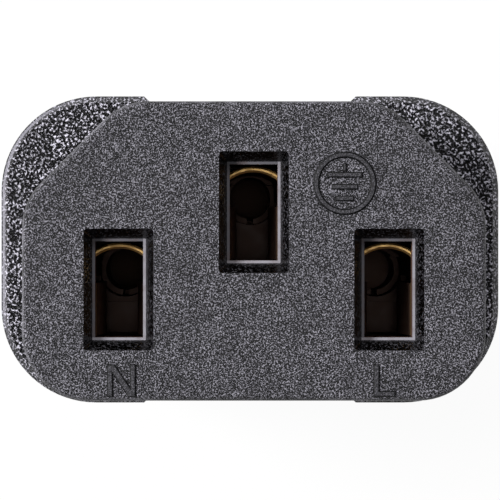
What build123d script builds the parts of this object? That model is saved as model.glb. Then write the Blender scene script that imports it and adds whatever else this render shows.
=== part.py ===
"""Angled appliance connector with three contacts, moulded to take a flexible cord from the side.

Millimetres. The origin is the middle of the flat back. +Z is the way the mating face looks,
+Y is the side of the earth contact, and +X is the side where the cord goes in.
"""

import os
from math import radians, tan

from build123d import *

# Nose and slots, to the sizes of the standard ten ampere appliance coupler
nose_width = 24.0
nose_height = 15.5
nose_length = 16.0
nose_key_cut = 5.2
nose_key_round = 3.2
nose_corner_round = 3.5
nose_edge_round = 0.3
contact_spacing = 14.0
earth_offset = 4.0
slot_width = 2.5
slot_height = 5.0

# Bevelled mouths in the soft skin over the face
face_skin = 1.0
mouth_flare_x = 0.43
mouth_flare_y = 0.52
mouth_corner_round = 0.22
lip_width = 0.14
lip_corner_round = 0.03

# Body behind the nose
body_width = 28.2
body_height = 17.4
body_depth = 20.0
body_corner_round = 5.4
body_draft = 4.0
shoulder_edge_cut = 0.4
back_edge_cut = 1.5

# Grip recess on both wide faces
grip_width = 12.0
grip_length = 14.0
grip_depth = 0.9
grip_corner_round = 1.5
grip_end_slope = 45.0
rib_count = 5
rib_pitch = 2.1
rib_start = 2.4
rib_length = 8.0
rib_width = 1.0
rib_proud = 0.4
rib_slope = 30.0

# Cord entry in the side
sheath_diameter = 6.8
sheath_clearance = 0.1
sheath_grip = 4.0
core_diameter = 2.5
core_bend_share = 0.73
collar_diameter = 12.0
collar_setback = 0.1
collar_edge_cut = 0.5
entry_height = 8.6

# Walls
nose_wall = 1.7
body_wall = 2.0
shoulder_wall = 1.8
back_wall = 2.0
moulded_gap = 0.05

# Rigid insert and the cap behind it
slot_wall = 1.2
carrier_length = 13.0
cap_thickness = 1.8
chamber_clearance = 0.1
spigot_height = 0.35
spigot_span = 1.6

# Formed contacts, cut and bent from one brass strip each
sheet = 0.3
contact_width = 3.2
contact_drop = 0.08
contact_arch_radius = 2.4
contact_corner_round = 0.55
contact_foot = 2.45
contact_edge_cut = 0.1
contact_setback = 0.2
hood_foot = 0.6
box_length = 1.8
box_clearance = 0.05
leaf_slit = 0.3
leaf_gap = 1.7
leaf_setback = 0.15
neck_rise = 0.75
neck_step = 0.1
neck_length = 2.6
barrel_radius = 1.45
barrel_length = 5.0
barrel_seam = 0.35
barrel_clearance = 0.05

# Heights and places that follow from the sizes above
face_z = body_depth + nose_length
carrier_front_z = face_z - face_skin
chamber_front_z = carrier_front_z - slot_wall
carrier_back_z = carrier_front_z - carrier_length
cap_back_z = carrier_back_z - cap_thickness
body_cavity_z = body_depth - shoulder_wall
contact_front_z = chamber_front_z - contact_setback
box_back_z = carrier_back_z + spigot_height + box_clearance
box_front_z = box_back_z + box_length
barrel_front_z = box_back_z - neck_length
barrel_back_z = barrel_front_z - barrel_length
collar_reach = body_width / 2 - collar_setback
sheath_end_x = collar_reach - sheath_grip
sheath_bore_radius = sheath_diameter / 2 + sheath_clearance
core_bend = core_bend_share * (sheath_end_x - contact_spacing / 2)
barrel_hole_radius = barrel_radius + barrel_clearance

# The body's hollow keeps its wall all the way down the sloping sides
cavity_inset = body_wall + shoulder_wall * tan(radians(body_draft))
cavity_width = body_width - 2 * cavity_inset
cavity_height = body_height - 2 * cavity_inset
cavity_corner_round = body_corner_round - cavity_inset

# Slot centres, seen from the front with the earth contact up
slot_centres = {
    "line_contact": (contact_spacing / 2, -earth_offset / 2),
    "neutral_contact": (-contact_spacing / 2, -earth_offset / 2),
    "earth_contact": (0.0, earth_offset / 2),
}

# Each contact's arch and crimp hang from one line just under the top of its slot
arch_apex = slot_height / 2 - contact_drop
barrel_axis_y = arch_apex - neck_step - barrel_radius

# Lanes in which the three cores run to the sheath, as (y, z)
core_gap = core_diameter / 2 + 0.1
core_lanes = {
    "line_contact": (-core_gap, entry_height + core_gap),
    "neutral_contact": (-core_gap, entry_height - core_gap),
    "earth_contact": (core_gap, entry_height),
}


def keyed_face(inset):
    """The nose section, with two rounded corners below and two cut at 45 degrees beside the earth."""
    with BuildSketch() as outline:
        Rectangle(nose_width, nose_height)
        chamfer(outline.vertices().group_by(Axis.Y)[-1], nose_key_cut)
        levels = outline.vertices().group_by(Axis.Y)
        fillet(levels[1] + levels[2], nose_key_round)
        fillet(outline.vertices().group_by(Axis.Y)[0], nose_corner_round)
        if inset > 0:
            offset(amount=-inset, mode=Mode.REPLACE)
    return outline.sketch


def arched_face(inset):
    """The contact section, two flat sides under a shallow arch, with the foot left long for the inside."""
    half_width = contact_width / 2 - inset
    apex = arch_apex - inset
    radius = contact_arch_radius - inset
    spring = apex - radius + (radius**2 - half_width**2) ** 0.5
    foot = -contact_foot - inset
    with BuildSketch() as section:
        with BuildLine():
            Polyline((-half_width, spring), (-half_width, foot), (half_width, foot), (half_width, spring))
            ThreePointArc((half_width, spring), (0, apex), (-half_width, spring))
        make_face()
        fillet(section.vertices().group_by(Axis.Y)[-1], contact_corner_round - inset)
    return section.sketch


# Outer moulding: body, grips, collar and nose, hollow where it is moulded round the inner pieces
with BuildPart() as outer_moulding:
    with BuildSketch(Plane.XY.offset(body_depth)):
        RectangleRounded(body_width, body_height, body_corner_round)
    extrude(amount=-body_depth, taper=body_draft)
    chamfer(outer_moulding.faces().sort_by(Axis.Z)[0].edges(), back_edge_cut)
    chamfer(outer_moulding.faces().sort_by(Axis.Z)[-1].edges(), shoulder_edge_cut)

    # Collar round the cord entry
    with BuildSketch(Plane.YZ.offset(sheath_end_x)):
        with Locations((0, entry_height)):
            Circle(collar_diameter / 2)
    extrude(amount=sheath_grip - collar_edge_cut)
    with BuildSketch(Plane.YZ.offset(collar_reach - collar_edge_cut)):
        with Locations((0, entry_height)):
            Circle(collar_diameter / 2)
    extrude(amount=collar_edge_cut, taper=45)

    # Grip recesses, sunk square to the sloping faces, with ribs across their floors
    for side in (1, -1):
        outward = Vector(0, side, -tan(radians(body_draft)))
        grip = Plane(origin=(0, side * body_height / 2, body_depth), x_dir=(side, 0, 0), z_dir=outward)
        with BuildSketch(grip):
            with Locations((0, (grip_length - 2 * grip_depth) / 2)):
                RectangleRounded(grip_width, grip_length + 2 * grip_depth, grip_corner_round)
        extrude(amount=-grip_depth, taper=grip_end_slope, mode=Mode.SUBTRACT)
        with BuildSketch(grip.offset(-grip_depth)):
            with Locations(*[(0, rib_start + rib * rib_pitch) for rib in range(rib_count)]):
                Rectangle(rib_length, rib_width)
        extrude(amount=rib_proud, taper=rib_slope)

    # Nose
    with BuildSketch(Plane.XY.offset(body_depth)):
        add(keyed_face(0))
    extrude(amount=nose_length)
    fillet(outer_moulding.faces().sort_by(Axis.Z)[-1].edges(), nose_edge_round)

    # Hollows for the insert, its cap and the inner moulding
    with BuildSketch(Plane.XY.offset(carrier_front_z)):
        add(keyed_face(nose_wall))
    extrude(amount=body_cavity_z - carrier_front_z, mode=Mode.SUBTRACT)
    with BuildSketch(Plane.XY.offset(body_cavity_z)):
        RectangleRounded(cavity_width, cavity_height, cavity_corner_round)
    extrude(amount=back_wall - body_cavity_z, taper=body_draft, mode=Mode.SUBTRACT)

    # Bevelled mouths over the slots
    for centre in slot_centres.values():
        lip_opening = (slot_width + 2 * lip_width, slot_height + 2 * lip_width)
        with BuildSketch(Plane.XY.offset(face_z)):
            with Locations(centre):
                RectangleRounded(
                    lip_opening[0] + 2 * mouth_flare_x, lip_opening[1] + 2 * mouth_flare_y, mouth_corner_round
                )
        with BuildSketch(Plane.XY.offset(carrier_front_z)):
            with Locations(centre):
                RectangleRounded(lip_opening[0], lip_opening[1], lip_corner_round)
        loft(ruled=True, mode=Mode.SUBTRACT)

    # Cord entry
    with BuildSketch(Plane.YZ.offset(sheath_end_x)):
        with Locations((0, entry_height)):
            Circle(sheath_bore_radius)
    extrude(amount=sheath_grip, mode=Mode.SUBTRACT)

# Contact carrier: the rigid insert, with a slot and a chamber behind it for each contact
with BuildPart() as contact_carrier:
    with BuildSketch(Plane.XY.offset(carrier_back_z)):
        add(keyed_face(nose_wall + moulded_gap))
    extrude(amount=carrier_length)
    with BuildSketch(Plane.XY.offset(carrier_front_z)):
        with Locations(*slot_centres.values()):
            Rectangle(slot_width, slot_height)
    extrude(amount=-slot_wall, mode=Mode.SUBTRACT)
    with BuildSketch(Plane.XY.offset(carrier_back_z)):
        with Locations(*slot_centres.values()):
            Rectangle(contact_width + 2 * chamber_clearance, slot_height + 2 * chamber_clearance)
    extrude(amount=chamber_front_z - carrier_back_z, mode=Mode.SUBTRACT)

# Carrier cap: closes the chambers, with a low spigot at the foot of each, and lets the crimps through
with BuildPart() as carrier_cap:
    with BuildSketch(Plane.XY.offset(cap_back_z)):
        add(keyed_face(nose_wall + moulded_gap))
    extrude(amount=cap_thickness)
    with BuildSketch(Plane.XY.offset(cap_back_z)):
        with Locations(*[(x, y + barrel_axis_y) for x, y in slot_centres.values()]):
            Circle(barrel_hole_radius)
    extrude(amount=cap_thickness, mode=Mode.SUBTRACT)
    with BuildSketch(Plane.XY.offset(carrier_back_z)):
        with Locations(*[(x, y - slot_height / 2) for x, y in slot_centres.values()]):
            Rectangle(contact_width, spigot_span, align=(Align.CENTER, Align.MIN))
    extrude(amount=spigot_height)

# Inner moulding: fills the body behind the insert, with the crimps, the cores and the sheath left open
with BuildPart() as inner_moulding:
    with BuildSketch(Plane.XY.offset(body_cavity_z)):
        RectangleRounded(
            cavity_width - 2 * moulded_gap, cavity_height - 2 * moulded_gap, cavity_corner_round - moulded_gap
        )
    extrude(amount=back_wall - body_cavity_z, taper=body_draft)
    with BuildSketch(Plane.XY.offset(body_cavity_z)):
        add(keyed_face(nose_wall + moulded_gap))
    extrude(amount=cap_back_z - body_cavity_z)
    with BuildSketch(Plane.XY.offset(cap_back_z)):
        with Locations(*[(x, y + barrel_axis_y) for x, y in slot_centres.values()]):
            Circle(barrel_hole_radius)
    extrude(amount=barrel_back_z - cap_back_z, mode=Mode.SUBTRACT)
    for name, (x, y) in slot_centres.items():
        lane_y, lane_z = core_lanes[name]
        with BuildLine() as core_route:
            Polyline(
                (x, y + barrel_axis_y, barrel_back_z + core_diameter / 4),
                (x, y + barrel_axis_y, lane_z + core_bend),
                (x + core_bend, y + barrel_axis_y, lane_z),
                (sheath_end_x + core_diameter / 4, lane_y, lane_z),
            )
        with BuildSketch(Plane(origin=core_route.line @ 0, z_dir=core_route.line % 0)):
            Circle(core_diameter / 2)
        sweep(path=core_route.line, transition=Transition.RIGHT, mode=Mode.SUBTRACT)
    with BuildSketch(Plane.YZ.offset(sheath_end_x)):
        with Locations((0, entry_height)):
            Circle(sheath_bore_radius)
    extrude(amount=sheath_grip, mode=Mode.SUBTRACT)

# Contacts: an arched hood and two bowed leaves that grip the blade, a box, a neck and a rolled crimp barrel
contacts = {}
for name, (x, y) in slot_centres.items():
    seat = Plane(origin=(x, y, 0))
    with BuildPart() as contact:
        # Box, the full section
        with BuildSketch(seat.offset(box_back_z)):
            add(arched_face(0))
            add(arched_face(sheet), mode=Mode.SUBTRACT)
        extrude(amount=box_length)

        # Hood, the arch alone with short sides
        with BuildSketch(seat.offset(box_front_z)):
            add(arched_face(0))
            add(arched_face(sheet), mode=Mode.SUBTRACT)
            with Locations((0, hood_foot)):
                Rectangle(contact_width, 2 * contact_foot, align=(Align.CENTER, Align.MAX), mode=Mode.SUBTRACT)
        extrude(amount=contact_front_z - box_front_z)
        hood_rim = contact.faces().sort_by(Axis.Z)[-1].edges().filter_by(GeomType.CIRCLE)
        chamfer(hood_rim, contact_edge_cut)

        # Leaves, bowed in towards each other below the hood
        leaf_top = hood_foot - leaf_slit
        leaf_back_z = box_front_z - sheet
        leaf_front_z = contact_front_z - leaf_setback
        leaf_middle_z = (leaf_back_z + leaf_front_z) / 2
        outside = contact_width / 2
        with BuildSketch(Plane(origin=(x, y + leaf_top, 0), x_dir=(1, 0, 0), z_dir=(0, -1, 0))):
            with BuildLine():
                ThreePointArc(
                    (outside, leaf_back_z), (leaf_gap / 2 + sheet, leaf_middle_z), (outside, leaf_front_z)
                )
                Line((outside, leaf_front_z), (outside - sheet, leaf_front_z))
                ThreePointArc(
                    (outside - sheet, leaf_front_z), (leaf_gap / 2, leaf_middle_z), (outside - sheet, leaf_back_z)
                )
                Line((outside - sheet, leaf_back_z), (outside, leaf_back_z))
            make_face()
            mirror(about=Plane.YZ)
        extrude(amount=leaf_top + contact_foot)

        # Neck and crimp barrel, on the axis of the core
        with BuildSketch(seat.offset(barrel_front_z)):
            with Locations((0, barrel_axis_y)):
                Circle(barrel_radius)
                Circle(barrel_radius - sheet, mode=Mode.SUBTRACT)
            with Locations((0, barrel_axis_y + neck_rise)):
                Rectangle(2 * barrel_radius, 2 * barrel_radius + neck_rise, align=(Align.CENTER, Align.MAX),
                          mode=Mode.SUBTRACT)
        extrude(amount=neck_length + sheet)
        with BuildSketch(seat.offset(barrel_back_z)):
            with Locations((0, barrel_axis_y)):
                Circle(barrel_radius)
                Circle(barrel_radius - sheet, mode=Mode.SUBTRACT)
            with Locations((0, barrel_axis_y - barrel_radius)):
                Rectangle(barrel_seam, 2 * barrel_radius - sheet, mode=Mode.SUBTRACT)
        extrude(amount=barrel_length)
    contacts[name] = contact

# Label and write every piece
os.makedirs("parts", exist_ok=True)
pieces = {
    "outer_moulding": outer_moulding,
    "contact_carrier": contact_carrier,
    "carrier_cap": carrier_cap,
    "inner_moulding": inner_moulding,
    **contacts,
}
for name, piece in pieces.items():
    piece.part.label = name
    export_step(piece.part, f"parts/{name}.step")
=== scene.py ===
"""The moulded connector head, lying on its back, seen square on to its mating face."""

import math

import bmesh
import bpy
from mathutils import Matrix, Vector


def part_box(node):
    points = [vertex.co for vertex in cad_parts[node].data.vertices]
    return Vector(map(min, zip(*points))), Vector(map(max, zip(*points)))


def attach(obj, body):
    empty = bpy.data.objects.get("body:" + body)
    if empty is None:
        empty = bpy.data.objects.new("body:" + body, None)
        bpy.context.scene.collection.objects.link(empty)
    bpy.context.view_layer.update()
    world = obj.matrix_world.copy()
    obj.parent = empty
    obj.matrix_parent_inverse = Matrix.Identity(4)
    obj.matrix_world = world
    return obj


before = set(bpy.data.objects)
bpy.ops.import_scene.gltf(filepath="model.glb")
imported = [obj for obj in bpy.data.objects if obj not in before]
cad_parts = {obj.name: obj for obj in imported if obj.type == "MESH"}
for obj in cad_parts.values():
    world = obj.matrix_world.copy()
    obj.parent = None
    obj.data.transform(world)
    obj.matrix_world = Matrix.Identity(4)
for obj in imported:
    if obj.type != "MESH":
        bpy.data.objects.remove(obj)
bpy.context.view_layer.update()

mm = 0.001


def front_of(node):
    """The height of a node's front end, which looks up."""
    low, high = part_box(node)
    return high[2]


def slot_centre(node):
    """The middle of the slot that a contact stands behind, measured from the contact's lower edge."""
    contact_foot = 2.45 * mm
    low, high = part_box(node)
    return ((low[0] + high[0]) / 2, low[1] + contact_foot)


# Sizes and places on the head
face_z = front_of("outer_moulding")
insert_face_z = front_of("contact_carrier")
contact_front_z = front_of("earth_contact")
nose_length = 16.0 * mm
shoulder_z = face_z - nose_length
slot_width = 2.5 * mm
slot_height = 5.0 * mm
mouth_width = 3.64 * mm
mouth_height = 6.32 * mm
slot_centres = [slot_centre(node) for node in ("line_contact", "neutral_contact", "earth_contact")]

# Raised conductor marks on the face
mark_rise = 0.09 * mm
mark_sink = 0.05 * mm
mark_bevel = 0.08 * mm

# Grain of the plastics, in grains per metre, and how deep it is
face_grains = 13500.0
body_grains = 7000.0
inner_grains = 4000.0
face_relief = 0.05 * mm
body_relief = 0.16 * mm
mouth_relief = 0.15 * face_relief
mark_relief = 0.3 * face_relief


# Node helpers

def fill(tree, node, values):
    """Link the values that are sockets to a node's inputs, and set the others."""
    for name, value in values.items():
        if isinstance(value, bpy.types.NodeSocket):
            tree.links.new(value, node.inputs[name])
        else:
            node.inputs[name].default_value = value


def add_node(tree, kind, values, **settings):
    node = tree.nodes.new(kind)
    for name, value in settings.items():
        setattr(node, name, value)
    fill(tree, node, values)
    return node


def new_material(name):
    material = bpy.data.materials.new(name)
    material.use_nodes = True
    tree = material.node_tree
    tree.nodes.clear()
    shader = tree.nodes.new("ShaderNodeBsdfPrincipled")
    add_node(tree, "ShaderNodeOutputMaterial", {"Surface": shader.outputs["BSDF"]})
    return material, tree, shader


def object_coords(tree):
    return tree.nodes.new("ShaderNodeTexCoord").outputs["Object"]


def axes_of(tree, coords):
    """The X, Y and Z of a place."""
    return add_node(tree, "ShaderNodeSeparateXYZ", {"Vector": coords}).outputs


def calc(tree, operation, a, b=0.0, clamp=False):
    node = add_node(tree, "ShaderNodeMath", {0: a, 1: b}, operation=operation, use_clamp=clamp)
    return node.outputs["Value"]


def distance_from(tree, value, centre):
    return calc(tree, "ABSOLUTE", calc(tree, "SUBTRACT", value, centre))


def any_of(tree, masks):
    """One wherever one of the masks is."""
    whole = masks[0]
    for mask in masks[1:]:
        whole = calc(tree, "MAXIMUM", whole, mask)
    return whole


rising = (0.0, 1.0)
falling = (1.0, 0.0)
noise_middle = (0.3, 0.7)       # most of a noise's values lie between these two


def ramp(tree, value, span, ends=rising, smooth=True):
    """From the first of the ends to the second while the value crosses the span, and held outside it."""
    node = add_node(tree, "ShaderNodeMapRange",
                    {"Value": value, "From Min": span[0], "From Max": span[1],
                     "To Min": ends[0], "To Max": ends[1]},
                    interpolation_type="SMOOTHSTEP" if smooth else "LINEAR")
    return node.outputs["Result"]


def band(tree, value, rise, fall):
    """One between two soft edges, nothing outside them."""
    return calc(tree, "MULTIPLY", ramp(tree, value, rise), ramp(tree, value, fall, falling))


def blend(tree, factor, a, b):
    return add_node(tree, "ShaderNodeMix", {"Factor": factor, "A": a, "B": b}).outputs["Result"]


# The colour sockets of a Mix node share their names with others, so they are taken by their number
mix_factor, mix_first, mix_second, mix_result = 0, 6, 7, 2


def blend_colour(tree, factor, a, b):
    node = add_node(tree, "ShaderNodeMix", {mix_factor: factor, mix_first: a, mix_second: b},
                    data_type="RGBA")
    return node.outputs[mix_result]


def noise(tree, coords, scale, detail, roughness=0.5):
    node = add_node(tree, "ShaderNodeTexNoise",
                    {"Vector": coords, "Scale": scale, "Detail": detail, "Roughness": roughness})
    return node.outputs["Fac"]


def add_bump(tree, shader, height, strength=1.0, distance=1.0):
    """Feed a height to the shader's normal, in metres where the distance is one."""
    bump = add_node(tree, "ShaderNodeBump", {"Height": height, "Strength": strength, "Distance": distance})
    tree.links.new(bump.outputs["Normal"], shader.inputs["Normal"])


def grey(level):
    """The skin's grey, with a little more red and blue than green."""
    red, blue = 1.03, 1.15
    return (level * red, level, level * blue, 1.0)


# Grain

def make_group(name, inputs, outputs):
    group = bpy.data.node_groups.new(name, "ShaderNodeTree")
    for socket_name, kind in inputs:
        group.interface.new_socket(socket_name, in_out="INPUT", socket_type=kind)
    for socket_name, kind in outputs:
        group.interface.new_socket(socket_name, in_out="OUTPUT", socket_type=kind)
    start = group.nodes.new("NodeGroupInput")
    end = group.nodes.new("NodeGroupOutput")
    return group, start, end


def build_grain_group():
    """Spark-eroded grains that run into each other: their height, a mask of tops that are painted lighter,
    partly as wear and partly as painted highlight, and slow patches.
    """
    turn = (0.62, 0.41, 0.35)
    patches_per_grain = 0.06
    # Span of the noise painted as lighter grain tops, partly wear and partly painted highlight
    worn_and_highlit_tops = (0.465, 0.635)
    group, start, end = make_group(
        "moulded_grain",
        [("Vector", "NodeSocketVector"), ("Grains per metre", "NodeSocketFloat")],
        [("Height", "NodeSocketFloat"), ("Tops", "NodeSocketFloat"), ("Patches", "NodeSocketFloat")],
    )
    turned = add_node(group, "ShaderNodeVectorRotate",
                      {"Vector": start.outputs["Vector"], "Rotation": turn}, rotation_type="EULER_XYZ")
    coords = turned.outputs["Vector"]
    grains = start.outputs["Grains per metre"]
    grain = noise(group, coords, grains, detail=2.0, roughness=0.6)
    patches = noise(group, coords, calc(group, "MULTIPLY", grains, patches_per_grain), detail=1.0)
    fill(group, end, {
        "Height": ramp(group, grain, noise_middle),
        "Tops": ramp(group, grain, worn_and_highlit_tops),
        "Patches": patches,
    })
    return group


grain_group = build_grain_group()


def place_grain(tree, coords, grains):
    """The grain's Height, Tops and Patches in a material."""
    node = add_node(tree, "ShaderNodeGroup", {"Vector": coords, "Grains per metre": grains},
                    node_tree=grain_group)
    return node.outputs


# Skin of the outer moulding

def mouth_mask(tree, x, y, z):
    """One inside the bevelled mouths below the face, nothing elsewhere."""
    margin = 0.02 * mm
    face_edge = (face_z - 0.05 * mm, face_z - 0.01 * mm)
    mouths = [
        calc(tree, "MULTIPLY",
             calc(tree, "LESS_THAN", distance_from(tree, x, centre_x), mouth_width / 2 + margin),
             calc(tree, "LESS_THAN", distance_from(tree, y, centre_y), mouth_height / 2 + margin))
        for centre_x, centre_y in slot_centres
    ]
    below = ramp(tree, z, face_edge, falling, smooth=False)
    return calc(tree, "MULTIPLY", below, any_of(tree, mouths))


def worn_edges(tree, z):
    """One on the rounded rim of the nose, less on the bevel of the shoulder, nothing elsewhere."""
    shoulder_share = 0.35
    shoulder = band(tree, z, rise=(shoulder_z - 0.42 * mm, shoulder_z - 0.38 * mm),
                    fall=(shoulder_z - 0.10 * mm, shoulder_z - 0.02 * mm))
    nose = band(tree, z, rise=(face_z - 0.32 * mm, face_z - 0.24 * mm),
                fall=(face_z - 0.12 * mm, face_z - 0.05 * mm))
    return calc(tree, "MAXIMUM", calc(tree, "MULTIPLY", shoulder, shoulder_share), nose)


def painted_glint_edge(tree, x, y, z):
    """One where the bevel of the shoulder gets a pale painted highlight, on its left side above the bottom
    corner.
    """
    left = ramp(tree, x, (-12.5 * mm, -9.5 * mm), falling)
    upper = ramp(tree, y, (-6.0 * mm, -2.5 * mm))
    bevel = band(tree, z, rise=(shoulder_z - 0.35 * mm, shoulder_z - 0.29 * mm),
                 fall=(shoulder_z - 0.20 * mm, shoulder_z - 0.12 * mm))
    return calc(tree, "MULTIPLY", bevel, calc(tree, "MULTIPLY", left, upper))


def grain_colour(tree, worn, body, z):
    """Black hollows and grey tops, partly wear and partly painted highlight, fainter away from the face and
    from the shoulder.
    """
    body_contrast = 1.8
    face_wear = ramp(tree, z, (face_z - 1.6 * mm, face_z - 0.2 * mm), ends=(0.4, 1.0))
    face_colour = blend_colour(tree, calc(tree, "MULTIPLY", worn, face_wear), grey(0.005), grey(0.265))
    body_wear = ramp(tree, z, (shoulder_z - 0.8 * mm, shoulder_z), ends=(0.16, 1.0))
    body_wear_and_highlights = calc(tree, "MULTIPLY", calc(tree, "POWER", worn, body_contrast), body_wear)
    body_colour = blend_colour(tree, body_wear_and_highlights, grey(0.002), grey(0.66))
    return blend_colour(tree, body, face_colour, body_colour)


def make_skin():
    """Flexible black moulding: fine grain on the nose, coarse leathery grain on the body, smooth mouths."""
    edge_cover = 0.75
    edge_smoothing = 0.65
    mouth_contrast = 5.0
    face_roughness, body_roughness, mouth_roughness = 0.46, 0.30, 0.18
    material, tree, shader = new_material("moulded_skin")
    coords = object_coords(tree)
    x, y, z = axes_of(tree, coords)
    body = ramp(tree, z, (shoulder_z + 0.01 * mm, shoulder_z + 0.03 * mm), falling)
    mouth = mouth_mask(tree, x, y, z)
    edges = worn_edges(tree, z)
    coarse = calc(tree, "MAXIMUM", body, mouth)
    grain = place_grain(tree, coords, blend(tree, coarse, face_grains, body_grains))
    patchy = ramp(tree, grain["Patches"], noise_middle, ends=(0.8, 1.15), smooth=False)
    # The grain tops, painted lighter partly as wear and partly as painted highlight
    worn = calc(tree, "MULTIPLY", grain["Tops"], patchy)

    edge_patches = ramp(tree, grain["Patches"], (0.35, 0.65))
    edge_colour = blend_colour(tree, edge_patches, grey(0.02), grey(0.11))
    colour = grain_colour(tree, worn, body, z)
    colour = blend_colour(tree, calc(tree, "MULTIPLY", edges, edge_cover), colour, edge_colour)
    # Pale painted highlight along the left side of the shoulder's bevel
    painted_glint = calc(tree, "MULTIPLY", painted_glint_edge(tree, x, y, z), edge_cover)
    colour = blend_colour(tree, painted_glint, colour, grey(0.30))
    # Specks in the mouths: grain tops painted faintly lighter, partly as painted glints
    mouth_specks_and_glints = calc(tree, "POWER", worn, mouth_contrast)
    mouth_colour = blend_colour(tree, mouth_specks_and_glints, grey(0.0003), grey(0.05))

    kept_relief = calc(tree, "SUBTRACT", 1.0, calc(tree, "MULTIPLY", edges, edge_smoothing))
    relief = calc(tree, "MULTIPLY", blend(tree, body, face_relief, body_relief), kept_relief)
    relief = blend(tree, mouth, relief, mouth_relief)
    roughness = blend(tree, body, face_roughness, body_roughness)
    fill(tree, shader, {
        "Base Color": blend_colour(tree, mouth, colour, mouth_colour),
        "Roughness": blend(tree, mouth, roughness, mouth_roughness),
        "Specular IOR Level": 0.28,
    })
    add_bump(tree, shader, calc(tree, "MULTIPLY", grain["Height"], relief))
    return material


# Insert, contacts, inner moulding and marks

def painted_lit_sides(tree, x, y):
    """One on the lips to the right of and below each slot, painted paler as lit, nothing on the other two,
    which are painted darker as shaded.
    """
    sides = []
    for centre_x, centre_y in slot_centres:
        right = calc(tree, "GREATER_THAN", x, centre_x + slot_width / 2)
        below = calc(tree, "LESS_THAN", y, centre_y - slot_height / 2)
        near = calc(tree, "LESS_THAN", distance_from(tree, x, centre_x), slot_width)
        sides.append(calc(tree, "MULTIPLY", near, calc(tree, "MAXIMUM", right, below)))
    return any_of(tree, sides)


def make_insert():
    """Rigid insert: dark brown plastic, with grey lips at the very front, painted paler as lit to the right
    of and below each slot and darker as shaded on the other sides.
    """
    inside_brown = (0.090, 0.054, 0.043, 1.0)
    # Lip greys: a darker painted-shade copy for the upper and left sides, a paler painted-light copy for the
    # right and lower sides
    painted_shade_lip_grey = (0.105, 0.102, 0.115, 1.0)
    painted_lit_lip_grey = (0.265, 0.255, 0.285, 1.0)
    scuffs_per_metre = 1400.0
    material, tree, shader = new_material("rigid_insert")
    coords = object_coords(tree)
    x, y, z = axes_of(tree, coords)
    scuffs = noise(tree, coords, scuffs_per_metre, detail=3.0)
    lip = ramp(tree, z, (insert_face_z - 0.12 * mm, insert_face_z - 0.02 * mm))
    worn = calc(tree, "MULTIPLY", lip, ramp(tree, scuffs, (0.25, 0.6), ends=(0.6, 1.0)))
    # The lip grey is painted lighter on the lit sides and darker on the shaded ones
    lip_colour = blend_colour(tree, painted_lit_sides(tree, x, y), painted_shade_lip_grey, painted_lit_lip_grey)
    fill(tree, shader, {
        "Base Color": blend_colour(tree, worn, inside_brown, lip_colour),
        "Roughness": ramp(tree, scuffs, noise_middle, ends=(0.38, 0.55)),
        "Specular IOR Level": 0.05,
    })
    return material


def make_brass():
    """Stamped brass: bright at the front edge of each contact, with painted shade as a dull brown further
    in.
    """
    bright_brass = (0.88, 0.58, 0.23, 1.0)
    stained_brass = (0.40, 0.23, 0.08, 1.0)
    # Painted shade: the brass turns to a dull, barely metallic brown deeper in the slot
    painted_shade_brown = (0.080, 0.048, 0.038, 1.0)
    stains_per_metre = 2600.0
    material, tree, shader = new_material("contact_brass")
    coords = object_coords(tree)
    z = axes_of(tree, coords)["Z"]
    stains = noise(tree, coords, stains_per_metre, detail=4.0)
    # One at the front edge, falling to the painted shade further in
    unshaded_front = ramp(tree, z, (contact_front_z - 0.6 * mm, contact_front_z - 0.15 * mm))
    mottle = ramp(tree, stains, (0.35, 0.75), ends=(0.0, 0.45))
    front_colour = blend_colour(tree, mottle, bright_brass, stained_brass)
    fill(tree, shader, {
        "Base Color": blend_colour(tree, unshaded_front, painted_shade_brown, front_colour),
        "Metallic": ramp(tree, unshaded_front, (0.0, 0.5), ends=(0.1, 1.0)),
        "Roughness": ramp(tree, stains, noise_middle, ends=(0.46, 0.6)),
        "Specular IOR Level": 0.05,
    })
    add_bump(tree, shader, stains, strength=0.4, distance=0.01 * mm)
    return material


def make_inner():
    """Plain dark brown first shot of plastic behind the insert."""
    dark_brown = (0.060, 0.036, 0.028, 1.0)
    light_brown = (0.075, 0.045, 0.035, 1.0)
    material, tree, shader = new_material("inner_shot")
    grain = place_grain(tree, object_coords(tree), inner_grains)
    fill(tree, shader, {
        "Base Color": blend_colour(tree, grain["Patches"], dark_brown, light_brown),
        "Roughness": ramp(tree, grain["Patches"], noise_middle, ends=(0.5, 0.65)),
        "Specular IOR Level": 0.02,
    })
    add_bump(tree, shader, grain["Height"], strength=0.5, distance=0.01 * mm)
    return material


def make_mark_skin():
    """The raised conductor marks: the skin's plastic, rubbed smooth on top, and painted dark down the sides
    as shade.
    """
    unshaded_top_span = (face_z + 0.85 * mark_rise, face_z + 0.995 * mark_rise)
    material, tree, shader = new_material("mark_skin")
    coords = object_coords(tree)
    grain = place_grain(tree, coords, face_grains)
    top_colour = blend_colour(tree, grain["Tops"], grey(0.020), grey(0.085))
    # Painted shade: near black down the sloping sides, the grained grey only on top
    unshaded_top = ramp(tree, axes_of(tree, coords)["Z"], unshaded_top_span)
    fill(tree, shader, {
        "Base Color": blend_colour(tree, unshaded_top, grey(0.004), top_colour),
        "Roughness": 0.5,
        "Specular IOR Level": 0.2,
    })
    add_bump(tree, shader, calc(tree, "MULTIPLY", grain["Height"], mark_relief))
    return material


skin = make_skin()
insert = make_insert()
brass = make_brass()
inner = make_inner()
mark_skin = make_mark_skin()

finishes = {
    "outer_moulding": skin,
    "contact_carrier": insert,
    "carrier_cap": insert,
    "inner_moulding": inner,
    "line_contact": brass,
    "neutral_contact": brass,
    "earth_contact": brass,
}
for node_name, finish in finishes.items():
    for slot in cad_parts[node_name].material_slots:
        slot.material = finish


# Scene helpers

def add_object(name, data):
    thing = bpy.data.objects.new(name, data)
    bpy.context.scene.collection.objects.link(thing)
    return thing


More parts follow.
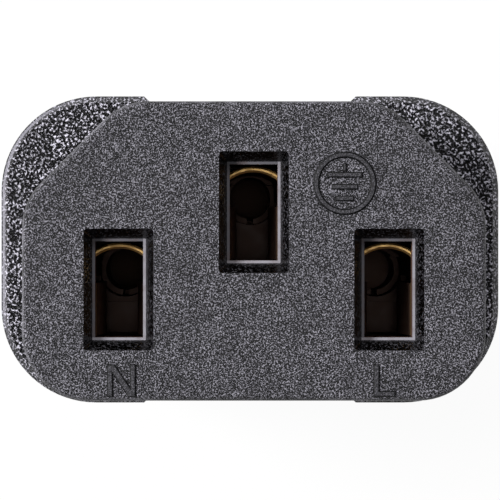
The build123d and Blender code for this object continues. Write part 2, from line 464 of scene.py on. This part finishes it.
def add_shape(name, shape, material):
    """A new object that takes a finished shape as its mesh, in one material."""
    mesh = bpy.data.meshes.new(name)
    shape.to_mesh(mesh)
    shape.free()
    mesh.materials.append(material)
    return add_object(name, mesh)


# Camera square on to the face, a little left of and above its middle, as in the photo
pixels_per_mm = 19.35
image_px = 500.0
face_centre_px = (254.0, 251.0)
camera_height = 170.0 * mm
camera_x = -2.4 * mm
camera_y = 0.9 * mm
nearest_seen = 10.0 * mm
farthest_seen = 100.0


def make_camera():
    seen_width = image_px / pixels_per_mm * mm
    camera_data = bpy.data.cameras.new("camera")
    camera_data.sensor_fit = "HORIZONTAL"
    camera_data.sensor_width = 36.0
    camera_data.lens = camera_data.sensor_width * camera_height / seen_width
    camera_data.clip_start = nearest_seen
    camera_data.clip_end = farthest_seen
    offset_x_px = -camera_x / mm * pixels_per_mm
    offset_y_px = camera_y / mm * pixels_per_mm
    camera_data.shift_x = (offset_x_px - (face_centre_px[0] - image_px / 2)) / image_px
    camera_data.shift_y = (-offset_y_px + (face_centre_px[1] - image_px / 2)) / image_px
    camera = add_object("camera", camera_data)
    camera.location = (camera_x, camera_y, face_z + camera_height)
    bpy.context.scene.camera = camera


make_camera()


# Floor

def make_floor_white():
    """White to the camera, with the connector's shadow kept."""
    white_share = 0.95
    material, tree, shader = new_material("white_floor")
    fill(tree, shader, {"Base Color": (0.9, 0.9, 0.9, 1.0), "Roughness": 0.8})
    white = add_node(tree, "ShaderNodeEmission", {"Color": (1.0, 1.0, 1.0, 1.0), "Strength": 1.0})
    path = tree.nodes.new("ShaderNodeLightPath").outputs
    straight = calc(tree, "ADD", path["Is Camera Ray"], path["Is Transmission Ray"])
    seen = calc(tree, "ADD", straight, path["Is Glossy Ray"], clamp=True)
    mix = add_node(tree, "ShaderNodeMixShader", {
        0: calc(tree, "MULTIPLY", seen, white_share),
        1: shader.outputs["BSDF"],
        2: white.outputs["Emission"],
    })
    output = next(node for node in tree.nodes if node.type == "OUTPUT_MATERIAL")
    tree.links.new(mix.outputs["Shader"], output.inputs["Surface"])
    return material


def make_floor():
    floor_reach = 30.0
    shape = bmesh.new()
    bmesh.ops.create_grid(shape, x_segments=1, y_segments=1, size=floor_reach)
    return add_shape("floor", shape, make_floor_white())


make_floor()


# Lights, placed from the middle of the face in metres, with their power in watts

def add_light(name, place, size, power):
    """A round lamp that looks at the middle of the face."""
    light = bpy.data.lights.new(name, "AREA")
    light.shape = "DISK"
    light.size = size
    light.energy = power
    lamp = add_object(name, light)
    x, y, rise = place
    lamp.location = (x, y, face_z + rise)
    direction = Vector((0.0, 0.0, face_z)) - lamp.location
    lamp.rotation_euler = direction.to_track_quat("-Z", "Y").to_euler()


add_light("key_light", (-0.40, 0.10, 0.34), size=0.18, power=4.4)
add_light("upper_light", (-0.04, 0.38, 0.36), size=0.18, power=1.0)
add_light("low_light", (-0.41, 0.14, 0.02), size=0.18, power=0.7)
add_light("right_light", (0.42, 0.10, 0.30), size=0.14, power=0.35)
add_light("top_light", (-0.002, 0.0, 0.60), size=0.08, power=0.28)


def make_room():
    """A dim white room all round."""
    world = bpy.data.worlds.new("studio")
    world.use_nodes = True
    tree = world.node_tree
    fill(tree, tree.nodes["Background"], {"Color": (1.0, 1.0, 1.0, 1.0), "Strength": 0.07})
    bpy.context.scene.world = world


make_room()

bpy.context.scene.view_settings.view_transform = "Standard"


# Letters and earth mark

letter_height = 1.7 * mm
line_letter_width = 1.15 * mm
neutral_letter_width = 1.5 * mm
stroke = 0.32 * mm
slant_width = 1.25 * stroke
slant_drop = 1.4 * slant_width

ring_outer_radius = 1.64 * mm
ring_inner_radius = 1.32 * mm
ring_steps = 72
bar_rises_and_widths = ((0.44 * mm, 1.83 * mm), (-0.18 * mm, 1.37 * mm), (-0.78 * mm, 0.96 * mm))
bar_height = 0.3 * mm
stem_rise = 0.83 * mm
stem_width = 0.2 * mm
stem_height = 0.46 * mm

line_mark_place = (6.75 * mm, -6.7 * mm)
neutral_mark_place = (-6.85 * mm, -6.7 * mm)
earth_mark_place = (4.7 * mm, 3.5 * mm)


def finish_mark(name, shape):
    """Turn a mark's faces outwards, make it an object and fasten it to the head."""
    bmesh.ops.recalc_face_normals(shape, faces=shape.faces)
    mark = add_shape(name, shape, mark_skin)
    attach(mark, "root")


def raise_outline(shape, points):
    """Raise one closed outline into a low solid with a sloping rim, standing in the face."""
    base = shape.faces.new([shape.verts.new((x, y, face_z - mark_sink)) for x, y in points])
    raised = bmesh.ops.extrude_face_region(shape, geom=[base])
    top_verts = [item for item in raised["geom"] if isinstance(item, bmesh.types.BMVert)]
    bmesh.ops.translate(shape, verts=top_verts, vec=(0.0, 0.0, mark_sink + mark_rise))
    rim = [edge for edge in shape.edges if all(vert in top_verts for vert in edge.verts)]
    bmesh.ops.bevel(shape, geom=rim, offset=mark_bevel, offset_type="OFFSET", segments=2, profile=0.5,
                    affect="EDGES", material=-1, clamp_overlap=True)


def raise_ring(shape, centre):
    """A flat ring with a sloping rim on both sides, spun from its section."""
    x, y = centre
    foot_z = face_z - mark_sink
    top_z = face_z + mark_rise
    section = [
        (ring_inner_radius, foot_z), (ring_inner_radius, top_z - mark_bevel),
        (ring_inner_radius + mark_bevel, top_z), (ring_outer_radius - mark_bevel, top_z),
        (ring_outer_radius, top_z - mark_bevel), (ring_outer_radius, foot_z),
    ]
    verts = [shape.verts.new((x + radius, y, z)) for radius, z in section]
    edges = [shape.edges.new(pair) for pair in zip(verts, verts[1:] + verts[:1])]
    bmesh.ops.spin(shape, geom=verts + edges, cent=(x, y, 0.0), axis=(0.0, 0.0, 1.0), angle=math.tau,
                   steps=ring_steps, use_merge=True)
    bmesh.ops.remove_doubles(shape, verts=shape.verts, dist=0.001 * mm)


def sides_of(centre, width, height):
    """The left, right, bottom and top of a box round its centre."""
    x, y = centre
    return x - width / 2, x + width / 2, y - height / 2, y + height / 2


def raise_bar(shape, centre, width, height):
    left, right, bottom, top = sides_of(centre, width, height)
    raise_outline(shape, [(left, bottom), (right, bottom), (right, top), (left, top)])


def make_line_mark():
    """The letter L."""
    left, right, bottom, top = sides_of(line_mark_place, line_letter_width, letter_height)
    shape = bmesh.new()
    raise_outline(shape, [
        (left, bottom), (right, bottom), (right, bottom + stroke),
        (left + stroke, bottom + stroke), (left + stroke, top), (left, top)])
    finish_mark("line_mark", shape)


def make_neutral_mark():
    """The letter N."""
    left, right, bottom, top = sides_of(neutral_mark_place, neutral_letter_width, letter_height)
    shape = bmesh.new()
    raise_outline(shape, [
        (left, bottom), (left + stroke, bottom), (left + stroke, top - slant_drop),
        (right - slant_width, bottom), (right, bottom), (right, top), (right - stroke, top),
        (right - stroke, bottom + slant_drop), (left + slant_width, top), (left, top)])
    finish_mark("neutral_mark", shape)


def make_earth_mark():
    """A ring round a stem and three bars that shorten downwards."""
    x, y = earth_mark_place
    shape = bmesh.new()
    raise_ring(shape, earth_mark_place)
    for rise, width in bar_rises_and_widths:
        raise_bar(shape, (x, y + rise), width, bar_height)
    raise_bar(shape, (x, y + stem_rise), stem_width, stem_height)
    finish_mark("earth_mark", shape)


make_line_mark()
make_neutral_mark()
make_earth_mark()
